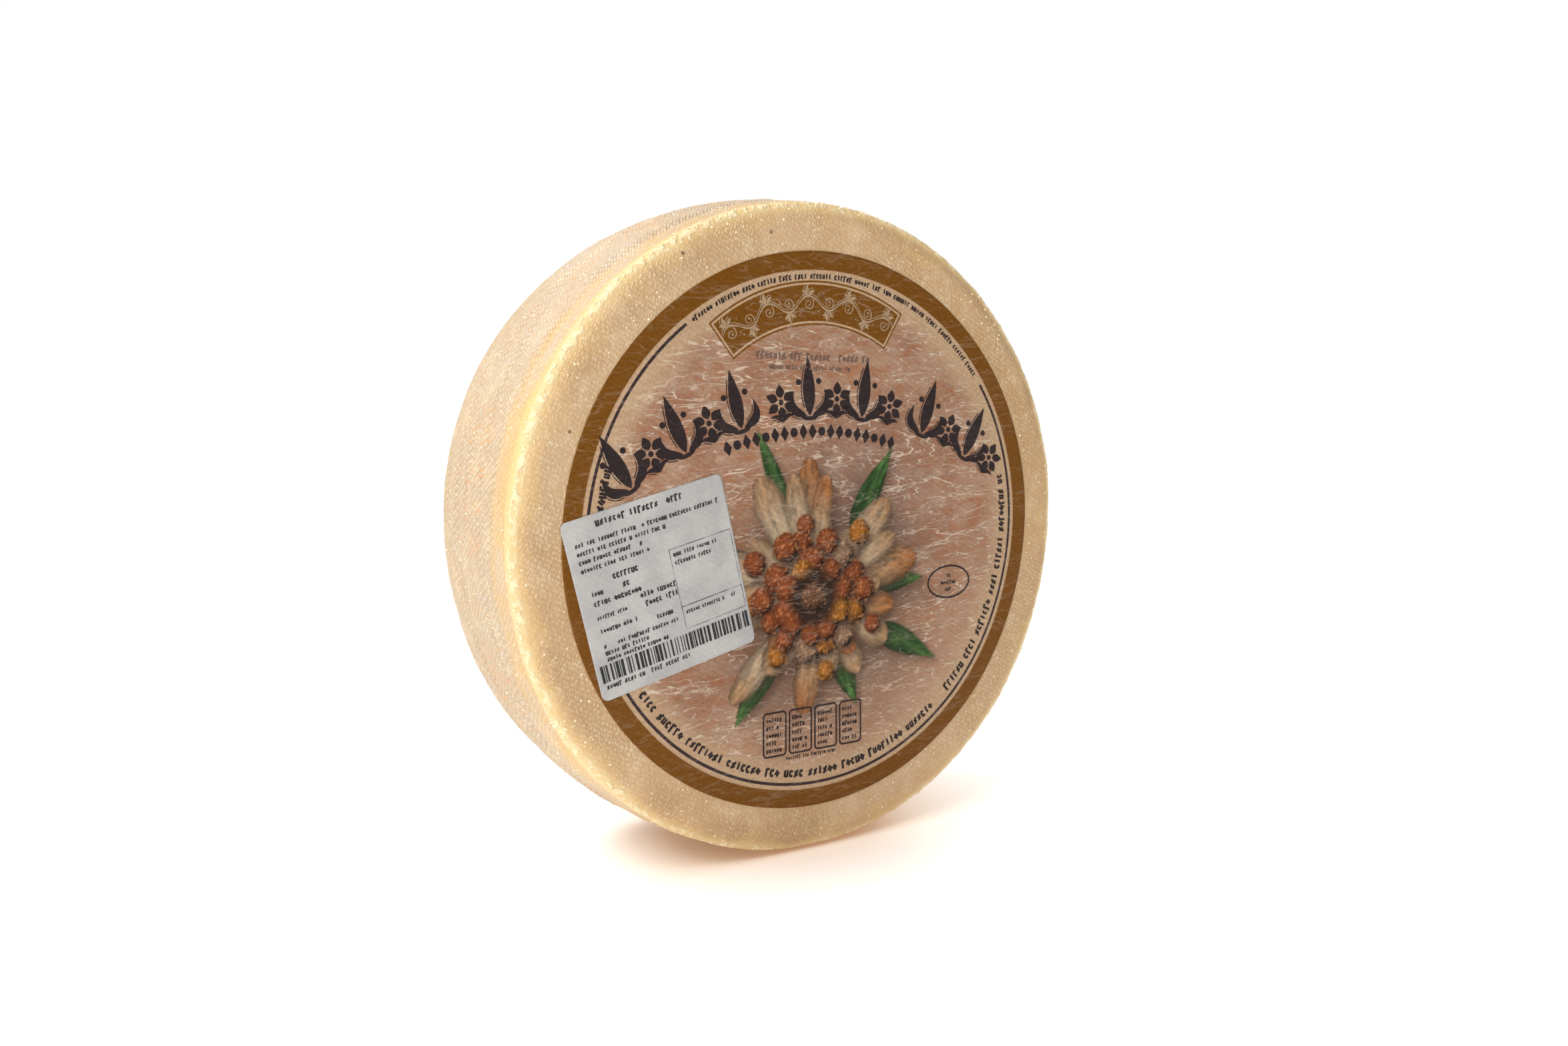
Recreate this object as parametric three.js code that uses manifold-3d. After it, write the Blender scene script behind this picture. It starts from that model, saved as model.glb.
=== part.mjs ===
// A wheel of hard mountain cheese standing on its rim, with the printed paper label on its face
// and the weight label that the dairy stuck over it.
// Millimetres, +Z up. The wheel's axis lies along Y and its labelled face looks towards -Y.
// The origin is on the floor, under the middle of the whole object.
import * as THREE from "three";
import { mergeVertices } from "three/addons/utils/BufferGeometryUtils.js";
import Module from "manifold-3d";

// The cheese
const wheelDiameter = 300;
const wheelThickness = 88;
const frontEdgeRadius = 9.5; // where the cloth was folded in under the lid of the mould
const backEdgeRadius = 13; // the softer edge, on the side that the wheel lay on
const sideCurveRadius = 245; // the side bulges a little, as a pressed cheese does
const settledWidth = 44; // chord of the flat that its own weight has pressed into the rim

// The round printed label
const bareRing = 11.5; // flat rind left bare round the label
const paperThickness = 0.4;
const gap = 0.3; // glue line under each label

// The weight label, seen from the front
const stickerWidth = 76.5;
const stickerHeight = 77.5;
const stickerCornerRadius = 3;
const stickerTurn = THREE.MathUtils.degToRad(13.5); // stuck on askew
const stickerBearing = THREE.MathUtils.degToRad(191.5); // where it lies round the face
const stickerInset = 43.5; // from the round label's edge in to the middle of the weight label

// How finely the round surfaces are divided
const wheelSegments = 96;
const edgeSteps = 6;
const sideSteps = 10;
const labelSegments = 96;
const cornerSegments = 6;

const wheelRadius = wheelDiameter / 2;
const halfThickness = wheelThickness / 2;
const axleHeight = Math.sqrt(wheelRadius ** 2 - (settledWidth / 2) ** 2);
const labelLift = gap;
const stickerLift = labelLift + paperThickness + gap;
const labelsDepth = stickerLift + paperThickness; // how far the labels stand off the face
const sideCurveCentre = wheelRadius - sideCurveRadius;

// An edge's rounding is a circle that touches both the flat face and the curve of the side.
function edgeRounding(radius) {
  const reach = sideCurveRadius - radius;
  const lean = Math.asin((halfThickness - radius) / reach);
  return { radius, lean, centre: sideCurveCentre + reach * Math.cos(lean) };
}

const frontEdge = edgeRounding(frontEdgeRadius);
const backEdge = edgeRounding(backEdgeRadius);
const labelRadius = frontEdge.centre - bareRing;

// Points on an arc, as (distance from the wheel's axis, distance along it).
function arcPoints(centreX, centreY, radius, from, to, steps) {
  const curve = new THREE.EllipseCurve(centreX, centreY, radius, radius, from, to, false);
  return curve.getPoints(steps);
}

// Half a section through the wheel, from the middle of the front face out and round to the back.
function wheelProfile() {
  const quarterTurn = Math.PI / 2;
  const front = arcPoints(frontEdge.centre, frontEdge.radius - halfThickness, frontEdge.radius,
    -quarterTurn, -frontEdge.lean, edgeSteps);
  const side = arcPoints(sideCurveCentre, 0, sideCurveRadius, -frontEdge.lean, backEdge.lean, sideSteps);
  const back = arcPoints(backEdge.centre, halfThickness - backEdge.radius, backEdge.radius,
    backEdge.lean, quarterTurn, edgeSteps);
  return [
    new THREE.Vector2(0, -halfThickness),
    ...front,
    ...side.slice(1, -1),
    ...back,
    new THREE.Vector2(0, halfThickness),
  ];
}

const wasm = await Module();
wasm.setup();

function solidFrom(geometry) {
  const bare = geometry.clone();
  bare.deleteAttribute("normal");
  bare.deleteAttribute("uv");
  const merged = mergeVertices(bare);
  return new wasm.Manifold(new wasm.Mesh({
    numProp: 3,
    vertProperties: merged.attributes.position.array,
    triVerts: merged.index.array,
  }));
}

function geometryFrom(solid) {
  const mesh = solid.getMesh();
  const geometry = new THREE.BufferGeometry();
  geometry.setAttribute("position", new THREE.BufferAttribute(mesh.vertProperties, mesh.numProp));
  geometry.setIndex(new THREE.BufferAttribute(mesh.triVerts, 1));
  geometry.computeVertexNormals();
  return geometry;
}

// The turned cheese with a slice taken off its rim, where it has settled on the floor.
function wheelGeometry() {
  const turned = new THREE.LatheGeometry(wheelProfile(), wheelSegments);
  const slice = new THREE.BoxGeometry(wheelDiameter, 2 * wheelThickness, wheelRadius);
  slice.translate(0, 0, -axleHeight - wheelRadius / 2);
  return geometryFrom(solidFrom(turned).subtract(solidFrom(slice)));
}

function discShape(radius) {
  return new THREE.Shape().absarc(0, 0, radius, 0, 2 * Math.PI, false);
}

function roundedRectangle(width, height, corner) {
  const right = width / 2;
  const top = height / 2;
  const quarterTurn = Math.PI / 2;
  return new THREE.Shape()
    .absarc(right - corner, corner - top, corner, -quarterTurn, 0, false)
    .absarc(right - corner, top - corner, corner, 0, quarterTurn, false)
    .absarc(corner - right, top - corner, corner, quarterTurn, 2 * quarterTurn, false)
    .absarc(corner - right, corner - top, corner, 2 * quarterTurn, 3 * quarterTurn, false);
}

function paper(shape, curveSegments) {
  return new THREE.ExtrudeGeometry(shape, { depth: paperThickness, bevelEnabled: false, curveSegments });
}

function named(name, geometry, color, roughness) {
  const material = new THREE.MeshStandardMaterial({ color, roughness, metalness: 0 });
  const mesh = new THREE.Mesh(geometry, material);
  mesh.name = name;
  return mesh;
}

const wheel = named("cheese_wheel", wheelGeometry(), 0xcdb187, 0.75);

// The front face's own plane: x to the right, y up and z out of the cheese.
const face = new THREE.Group();
face.position.y = -halfThickness;
face.rotation.x = Math.PI / 2;

const roundLabel = named("round_label", paper(discShape(labelRadius), labelSegments), 0xac917a, 0.6);
roundLabel.position.z = labelLift;
face.add(roundLabel);

const stickerShape = roundedRectangle(stickerWidth, stickerHeight, stickerCornerRadius);
const weightLabel = named("weight_label", paper(stickerShape, cornerSegments), 0xc5c1c0, 0.5);
const stickerReach = labelRadius - stickerInset;
weightLabel.position.set(
  stickerReach * Math.cos(stickerBearing),
  stickerReach * Math.sin(stickerBearing),
  stickerLift,
);
weightLabel.rotation.z = stickerTurn;
face.add(weightLabel);

const cheese = new THREE.Group();
cheese.add(wheel, face);
cheese.position.set(0, labelsDepth / 2, axleHeight);

const object = new THREE.Group();
object.add(cheese);

export default object;
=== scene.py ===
import math

import bpy
import numpy as np
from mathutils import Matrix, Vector


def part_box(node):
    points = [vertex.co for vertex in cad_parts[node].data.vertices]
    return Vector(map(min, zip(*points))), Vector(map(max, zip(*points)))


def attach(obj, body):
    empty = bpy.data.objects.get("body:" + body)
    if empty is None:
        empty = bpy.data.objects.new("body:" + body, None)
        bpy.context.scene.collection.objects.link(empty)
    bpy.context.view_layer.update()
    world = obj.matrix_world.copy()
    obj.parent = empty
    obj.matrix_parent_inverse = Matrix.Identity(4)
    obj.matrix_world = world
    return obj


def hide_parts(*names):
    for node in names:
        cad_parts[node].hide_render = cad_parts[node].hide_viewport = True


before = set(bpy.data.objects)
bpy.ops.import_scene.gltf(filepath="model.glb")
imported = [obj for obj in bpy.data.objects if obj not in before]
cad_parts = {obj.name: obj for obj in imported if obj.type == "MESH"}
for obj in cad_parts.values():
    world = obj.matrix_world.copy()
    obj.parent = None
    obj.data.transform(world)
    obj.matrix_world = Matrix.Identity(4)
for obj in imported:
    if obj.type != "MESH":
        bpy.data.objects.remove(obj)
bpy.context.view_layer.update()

# ------------------------------------------------------------------------------------------
# The studio. A wheel of cheese stands on its rim on a pale board that glows by itself. Its glow is dimmed
# near the wheel's foot to a warm painted shadow. A broad window stands over its left shoulder, a low lamp
# rakes its face from the left, and a weak fill behind its right side keeps the shadows open.
# ------------------------------------------------------------------------------------------
wheel_low, wheel_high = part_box("cheese_wheel")
wheel_radius = (wheel_high.x - wheel_low.x) / 2
axle_height = wheel_high.z - wheel_radius
front_y, back_y = wheel_low.y, wheel_high.y
face_centre = Vector((0, front_y, axle_height))

eye_turn = math.radians(33.25)
eye_dip = math.radians(6.46)
eye_back, eye_left, eye_above = 3.8972, 0.1105, 0.0331
ahead = Vector((
    math.cos(eye_dip) * math.sin(eye_turn),
    math.cos(eye_dip) * math.cos(eye_turn),
    -math.sin(eye_dip),
))
to_the_right = Vector((math.cos(eye_turn), -math.sin(eye_turn), 0))
down_the_view = ahead.cross(to_the_right)
from_the_eye = eye_back * ahead + eye_left * to_the_right + eye_above * down_the_view
eye = face_centre - wheel_radius * from_the_eye

camera = bpy.data.objects.new("camera", bpy.data.cameras.new("camera"))
camera.data.sensor_width = 36.0
camera.data.lens = 29.5
camera.location = eye
camera.rotation_euler = ahead.to_track_quat("-Z", "Y").to_euler()
bpy.context.scene.collection.objects.link(camera)
bpy.context.scene.camera = camera
bpy.context.scene.view_settings.view_transform = "Standard"


def window_light(name, place, aim, width, height, watts, colour):
    lamp = bpy.data.lights.new(name, "AREA")
    lamp.shape = "RECTANGLE"
    lamp.size, lamp.size_y = width, height
    lamp.energy, lamp.color = watts, colour
    lit = bpy.data.objects.new(name, lamp)
    lit.location = place
    lit.rotation_euler = (Vector(aim) - Vector(place)).to_track_quat("-Z", "Y").to_euler()
    bpy.context.scene.collection.objects.link(lit)


window_light("key_window", place=(-0.88, 0.50, 1.88), aim=(0, 0, 0.15), width=1.5, height=1.2,
             watts=34, colour=(1.0, 0.975, 0.94))
window_light("raking_lamp", place=(-0.66, -0.34, 0.74), aim=(0, 0, 0.18), width=0.45, height=0.35,
             watts=4.9, colour=(1.0, 0.97, 0.93))
window_light("back_fill", place=(1.8, 1.3, 1.0), aim=(0, 0, 0.15), width=1.4, height=1.0,
             watts=12, colour=(1.0, 0.95, 0.87))

studio = bpy.data.worlds.new("studio")
studio.use_nodes = True
bpy.context.scene.world = studio
air = studio.node_tree
sky = air.nodes["Background"]
sky.inputs["Color"].default_value = (1.0, 0.985, 0.97, 1)
sky.inputs["Strength"].default_value = 0.44
backdrop = air.nodes.new("ShaderNodeBackground")
backdrop.inputs["Color"].default_value = (1, 1, 1, 1)
ray = air.nodes.new("ShaderNodeLightPath")
either = air.nodes.new("ShaderNodeMixShader")
air.links.new(ray.outputs["Is Camera Ray"], either.inputs[0])
air.links.new(sky.outputs[0], either.inputs[1])
air.links.new(backdrop.outputs[0], either.inputs[2])
air.links.new(either.outputs[0], air.nodes["World Output"].inputs["Surface"])


def new_coat(name):
    """A new material, with its node tree and its shader."""
    material = bpy.data.materials.new(name)
    material.use_nodes = True
    return material, material.node_tree, material.node_tree.nodes["Principled BSDF"]


board_half = 4.0
board = bpy.data.meshes.new("board")
board_corners = [(a * board_half, b * board_half, 0) for a, b in ((-1, -1), (1, -1), (1, 1), (-1, 1))]
board.from_pydata(board_corners, [], [(0, 1, 2, 3)])
floor = bpy.data.objects.new("floor", board)
bpy.context.scene.collection.objects.link(floor)
board_paint, board_tree, board_coat = new_coat("board_paint")
board_coat.inputs["Base Color"].default_value = (0.92, 0.915, 0.905, 1)
board_coat.inputs["Roughness"].default_value = 0.6
board_coat.inputs["Emission Strength"].default_value = 1.0
board_place = board_tree.nodes.new("ShaderNodeTexCoord").outputs["Object"]
from_foot = board_tree.nodes.new("ShaderNodeVectorMath")
from_foot.operation = "LENGTH"
board_tree.links.new(board_place, from_foot.inputs[0])
# the board's own glow, dim and warm close to the wheel's foot: a painted contact shadow with painted warm
# bounce from the cheese
glow_with_painted_shadow = board_tree.nodes.new("ShaderNodeValToRGB")
painted_foot_shadow, open_board = glow_with_painted_shadow.color_ramp.elements
painted_foot_shadow.position, painted_foot_shadow.color = 0.05, (0.20, 0.11, 0.06, 1)
open_board.position, open_board.color = 0.165, (0.64, 0.63, 0.62, 1)
board_tree.links.new(from_foot.outputs["Value"], glow_with_painted_shadow.inputs[0])
board_tree.links.new(glow_with_painted_shadow.outputs[0], board_coat.inputs["Emission Color"])
board.materials.append(board_paint)


# ------------------------------------------------------------------------------------------
# The rind. One pressed body of cheese: two flat faces, a side that bulges a little, and a
# front edge pinched sharper than the back one. The cloth that lined the mould has left its
# threads all over, and long soft folds round the side. Salt dries out on it in pale grains.
# ------------------------------------------------------------------------------------------
front_edge_radius = 0.0095
back_edge_radius = 0.013
side_curve_radius = 0.245
rind_segments = 660
half_thickness = (back_y - front_y) / 2
middle_y = (back_y + front_y) / 2
label_low, label_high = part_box("round_label")
label_radius = (label_high.x - label_low.x) / 2
under_label = label_radius - 0.006


def edge_rounding(radius):
    """The lean of the side where it meets an edge, and how far out the edge's circle is centred."""
    reach = side_curve_radius - radius
    lean = math.asin((half_thickness - radius) / reach)
    return lean, wheel_radius - side_curve_radius + reach * math.cos(lean)


front_lean, front_flat = edge_rounding(front_edge_radius)
back_lean, back_flat = edge_rounding(back_edge_radius)


def arc_of(out, along, radius, start, end, steps):
    turn = np.linspace(start, end, steps + 1)[1:]
    return np.column_stack([out + radius * np.cos(turn), along + radius * np.sin(turn)])


def flat_run(start, end, along, steps):
    out = np.linspace(start, end, steps + 1)[1:]
    return np.column_stack([out, np.full(steps, along)])


half_section = np.concatenate([
    [[0, front_y]],
    flat_run(0, under_label, front_y, 9),
    flat_run(under_label, front_flat, front_y, 14),
    arc_of(front_flat, front_y + front_edge_radius, front_edge_radius, -math.pi / 2, -front_lean, 15),
    arc_of(wheel_radius - side_curve_radius, middle_y, side_curve_radius, -front_lean, back_lean, 50),
    arc_of(back_flat, back_y - back_edge_radius, back_edge_radius, back_lean, math.pi / 2, 15),
    flat_run(back_flat, 0, back_y, 30),
])
reach_along = np.concatenate([[0], np.cumsum(np.hypot(*np.diff(half_section, axis=0).T))])
front_edge_reach = front_flat
side_reach = front_flat + front_edge_radius * (math.pi / 2 - front_lean)
back_edge_reach = side_reach + side_curve_radius * (front_lean + back_lean)
back_face_reach = back_edge_reach + back_edge_radius * (math.pi / 2 - back_lean)
ridge_reach = front_edge_reach + 0.0086
press_ring_reach = back_face_reach + 0.021
press_ring_width = 0.003
cloth_fold_reach = side_reach + 0.0125
face_thread_pitch, side_thread_pitch = 0.00118, 0.00126
stamp_pitch, stamp_repeat = 15.0, 180.0


def turned_skin(name, section, reach):
    """A closed skin swept round the wheel's axis, with its reach from the middle of the front
    kept on each point and the way round kept in a map, in metres."""
    rings = section[1:-1]
    turn = np.arange(rind_segments) * 2 * math.pi / rind_segments
    out, along = rings[:, :1], rings[:, 1:]
    around = np.stack([out * np.sin(turn), along + 0 * turn, axle_height - out * np.cos(turn)], axis=-1)
    front_middle, back_middle = ([[0, end[1], axle_height]] for end in (section[0], section[-1]))
    points = np.concatenate([front_middle, around.reshape(-1, 3), back_middle])
    points[:, 2] = points[:, 2].clip(min=0)
    step = np.arange(rind_segments)
    after = (step + 1) % rind_segments
    faces, rounds = [], []
    width = 2 * math.pi * wheel_radius / rind_segments
    last = len(points) - 1
    for a, b in zip(step, after):
        faces.append((0, 1 + a, 1 + b))
        rounds.append((a, a, a + 1))
    for ring in range(len(rings) - 1):
        low, high = 1 + ring * rind_segments, 1 + (ring + 1) * rind_segments
        faces.extend(zip(low + step, high + step, high + after, low + after))
        rounds.extend(zip(step, step, step + 1, step + 1))
    end = 1 + (len(rings) - 1) * rind_segments
    for a, b in zip(step, after):
        faces.append((last, end + b, end + a))
        rounds.append((a, a + 1, a))
    mesh = bpy.data.meshes.new(name)
    mesh.from_pydata(points.tolist(), [], [tuple(int(v) for v in f) for f in faces])
    reaches = np.concatenate([[reach[0]], np.repeat(reach[1:-1], rind_segments), [reach[-1]]])
    mesh.attributes.new("reach", "FLOAT", "POINT").data.foreach_set("value", reaches.astype(np.float32))
    corner_vertex = np.zeros(len(mesh.loops), np.int32)
    mesh.loops.foreach_get("vertex_index", corner_vertex)
    corner_round = np.concatenate([np.array(r, float) for r in rounds]) * width
    wrap = np.column_stack([corner_round, reaches[corner_vertex]])
    mesh.uv_layers.new(name="cloth_wrap").uv.foreach_set("vector", wrap.astype(np.float32).ravel())
    mesh.shade_smooth()
    return mesh


class Field:
    """A number at every point of a surface, worked out by the Math nodes of one node tree."""

    def __init__(self, tree, socket):
        self.tree, self.socket = tree, socket

    def math(self, operation, *others):
        node = self.tree.nodes.new("ShaderNodeMath")
        node.operation = operation
        for slot, value in zip(node.inputs, (self, *others)):
            set_input(self.tree, slot, value)
        return Field(self.tree, node.outputs[0])

    def __add__(self, other):
        return self.math("ADD", other)

    def __sub__(self, other):
        return self.math("SUBTRACT", other)

    def __mul__(self, other):
        return self.math("MULTIPLY", other)

    def __neg__(self):
        return self.math("MULTIPLY", -1.0)

    def __rsub__(self, other):
        return (-self) + other

    __radd__ = __add__

    def abs(self):
        return self.math("ABSOLUTE")

    def power(self, index):
        return self.math("POWER", index)

    def most(self, other):
        return self.math("MAXIMUM", other)

    def ramp(self, low, high):
        """0 at low and 1 at high, eased between them."""
        node = self.tree.nodes.new("ShaderNodeMapRange")
        node.interpolation_type = "SMOOTHSTEP"
        set_input(self.tree, node.inputs["Value"], self)
        set_input(self.tree, node.inputs["From Min"], low)
        set_input(self.tree, node.inputs["From Max"], high)
        return Field(self.tree, node.outputs["Result"])

    def band(self, low, high, soft):
        """1 between low and high and 0 outside them, with soft limits."""
        return self.ramp(low - soft, low + soft) * (1 - self.ramp(high - soft, high + soft))


def set_input(tree, slot, value):
    if isinstance(value, Field):
        tree.links.new(value.socket, slot)
    elif isinstance(value, bpy.types.NodeSocket):
        tree.links.new(value, slot)
    elif slot.type == "RGBA" and len(value) == 3:
        slot.default_value = (*value, 1)
    else:
        slot.default_value = value


def node_of(tree, kind, settings=None, **inputs):
    """A new node with its own settings, and its inputs set or linked by name."""
    node = tree.nodes.new(kind)
    for key, value in (settings or {}).items():
        setattr(node, key, value)
    for key, value in inputs.items():
        set_input(tree, node.inputs[key.replace("_", " ")], value)
    return node


def noise(tree, where, scale, detail=2.0, roughness=0.5, distortion=0.0):
    made = node_of(tree, "ShaderNodeTexNoise", None, Vector=where, Scale=scale, Detail=detail,
                   Roughness=roughness, Distortion=distortion)
    return Field(tree, made.outputs[0])


def parts_of(tree, vector):
    """The parts of a vector along x, y and z."""
    split = node_of(tree, "ShaderNodeSeparateXYZ", None, Vector=vector)
    return [Field(tree, part) for part in split.outputs]


def vector_math(tree, operation, vector, other):
    made = node_of(tree, "ShaderNodeVectorMath", {"operation": operation})
    set_input(tree, made.inputs[0], vector)
    set_input(tree, made.inputs[1], other)
    return made.outputs[0]


def stretched(tree, where, scale, turn=(0, 0, 0)):
    """The place turned, then scaled along each axis, for a pattern with a grain."""
    turned = node_of(tree, "ShaderNodeVectorRotate", {"rotation_type": "EULER_XYZ"},
                     Vector=where, Rotation=turn)
    return vector_math(tree, "MULTIPLY", turned.outputs[0], scale)


def blend(tree, share, under, over, mode="MIX"):
    made = tree.nodes.new("ShaderNodeMix")
    made.data_type, made.blend_type = "RGBA", mode
    set_input(tree, made.inputs[0], share)
    set_input(tree, made.inputs[6], under)
    set_input(tree, made.inputs[7], over)
    return made.outputs[2]


def slow_waves(tree, where):
    """The long soft unevenness of the pressed cheese, which the labels follow too."""
    return noise(tree, where, 11.0, detail=1.0) - 0.5


def new_tree(name, sizes):
    """A Geometry Nodes tree with a geometry in and out and a named input for each of its sizes."""
    tree = bpy.data.node_groups.new(name, "GeometryNodeTree")
    tree.interface.new_socket("Geometry", in_out="INPUT", socket_type="NodeSocketGeometry")
    tree.interface.new_socket("Geometry", in_out="OUTPUT", socket_type="NodeSocketGeometry")
    for label, value in sizes.items():
        kind = "NodeSocketFloat"
        if isinstance(value, bpy.types.Material):
            kind = "NodeSocketMaterial"
        elif isinstance(value, int):
            kind = "NodeSocketInt"
        tree.interface.new_socket(label, in_out="INPUT", socket_type=kind)
    return tree, tree.nodes.new("NodeGroupInput").outputs, tree.nodes.new("NodeGroupOutput").inputs[0]


def grown(piece, tree, sizes):
    """The piece with the tree applied: a plain mesh, with no modifier left on it."""
    added = piece.modifiers.new(tree.name, "NODES")
    added.node_group = tree
    for item in tree.interface.items_tree:
        if item.in_out == "INPUT" and item.name in sizes:
            added[item.identifier] = sizes[item.name]
    settled = bpy.context.evaluated_depsgraph_get()
    mesh = bpy.data.meshes.new_from_object(piece.evaluated_get(settled), preserve_all_data_layers=True,
                                           depsgraph=settled)
    piece.modifiers.remove(added)
    piece.data = mesh
    return piece


def placed(name, mesh):
    piece = bpy.data.objects.new(name, mesh)
    bpy.context.scene.collection.objects.link(piece)
    return piece


def finish_tree(tree, made, finish, out):
    """Ends a tree: whatever was instanced becomes real, and all of it takes the finish."""
    real = node_of(tree, "GeometryNodeRealizeInstances", None, Geometry=made)
    coated = node_of(tree, "GeometryNodeSetMaterial", None, Geometry=real.outputs[0], Material=finish)
    tree.links.new(coated.outputs[0], out)


def reach_of(tree):
    named = node_of(tree, "GeometryNodeInputNamedAttribute", {"data_type": "FLOAT"}, Name="reach")
    return Field(tree, named.outputs[0])


def cells_of(tree, where, scale, randomness=1.0):
    """Cells scattered over a surface: how far the middle of each is, and a chance number for each."""
    cells = node_of(tree, "ShaderNodeTexVoronoi", None, Scale=scale, Randomness=randomness, Vector=where)
    chance = node_of(tree, "ShaderNodeSeparateColor", None, Color=cells.outputs["Color"])
    return Field(tree, cells.outputs["Distance"]), Field(tree, chance.outputs[0])


def cloth_print(tree, where, wrap, on_side):
    """The cloth's print: small bumps in rows, aslant on the faces and crossing the side at 45 degrees."""
    face_place = stretched(tree, where, (1, 0, 0.6), (0, math.radians(-28), 0))
    side_place = stretched(tree, wrap, (0.5, 1, 0), (0, 0, math.radians(45)))
    face_grain, face_chance = cells_of(tree, face_place, 1 / face_thread_pitch, 0.5)
    side_grain, side_chance = cells_of(tree, side_place, 1 / side_thread_pitch, 0.32)
    grain = face_grain * (1 - on_side) + side_grain * on_side
    chance = face_chance * (1 - on_side) + side_chance * on_side
    return grain, chance


def rind_bands(tree, where, reach):
    """The bands that run round the wheel: its ragged edge, the waxy stretches, the ridge, the bead
    that the ridge stands on, and the fold behind it."""
    wander = (noise(tree, where, 45.0, detail=3.0) - 0.5) * 0.015
    edge = reach + wander + (noise(tree, where, 17.0, detail=2.0) - 0.5) * 0.012
    behind = reach.ramp(ridge_reach - 0.001, ridge_reach + 0.003)
    behind = behind * (1 - edge.ramp(side_reach + 0.006, side_reach + 0.015))
    inside = (edge + wander).band(front_edge_reach + 0.001, ridge_reach, 0.002) * 0.6
    at_back = edge.band(back_edge_reach + 0.002, back_face_reach + 0.001, 0.004) * 0.7
    waxy = behind.most(inside).most(at_back)
    on_ridge = (reach + wander * 0.3).band(ridge_reach - 0.0016, ridge_reach + 0.0016, 0.0012)
    bead = (reach + wander * 0.4).band(ridge_reach - 0.003, ridge_reach + 0.0055, 0.002)
    fold = (reach + wander * 0.4).band(cloth_fold_reach - 0.0015, cloth_fold_reach + 0.0015, 0.002)
    return edge, waxy, on_ridge, bead, fold


def back_marks(tree, where, reach, edge, cloudy, colour):
    """The back's own marks: the line of the press ring, brown clouds and pale stains."""
    on_back = reach.ramp(back_face_reach, back_face_reach + 0.006)
    ring_line = edge.band(press_ring_reach, press_ring_reach + press_ring_width, 0.002)
    browned = ring_line * 0.45 + on_back * cloudy.ramp(0.52, 0.66) * 0.4
    colour = blend(tree, browned, colour, (0.46, 0.29, 0.13))
    stains = noise(tree, where, 22.0, detail=4.0, roughness=0.6).ramp(0.56, 0.66) * on_back
    return blend(tree, stains * 0.45, colour, (0.66, 0.53, 0.36))


def dairy_stamp(tree, wrap, reach, cloudy):
    """The dairy's stamp, rolled round the side in faint dots: stretches of lozenges in lozenges."""
    way = parts_of(tree, wrap)[0] * 1000
    across = (reach - (side_reach + back_edge_reach) / 2) * 1000
    lozenge = way.math("WRAP", stamp_pitch / 2, -stamp_pitch / 2).abs() * 2.1 + across.abs()
    stretch = way.math("WRAP", stamp_repeat / 2, -stamp_repeat / 2).abs()
    stamped = lozenge.band(11.0, 13.4, 0.3).most(lozenge.band(3.0, 5.2, 0.3)) * (1 - stretch.ramp(73, 74))
    dots, _ = cells_of(tree, stretched(tree, wrap, (1, 1, 0)), 1 / 0.00125, 0.3)
    return stamped * (1 - dots.ramp(0.30, 0.45)) * cloudy.ramp(0.38, 0.55)


def embossed(tree, coat, height, distance, strength):
    """Gives a coat the look of a height, finer than its mesh can hold."""
    bump = node_of(tree, "ShaderNodeBump", None, Height=height, Distance=distance, Strength=strength)
    set_input(tree, coat.inputs["Normal"], bump.outputs[0])


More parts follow.
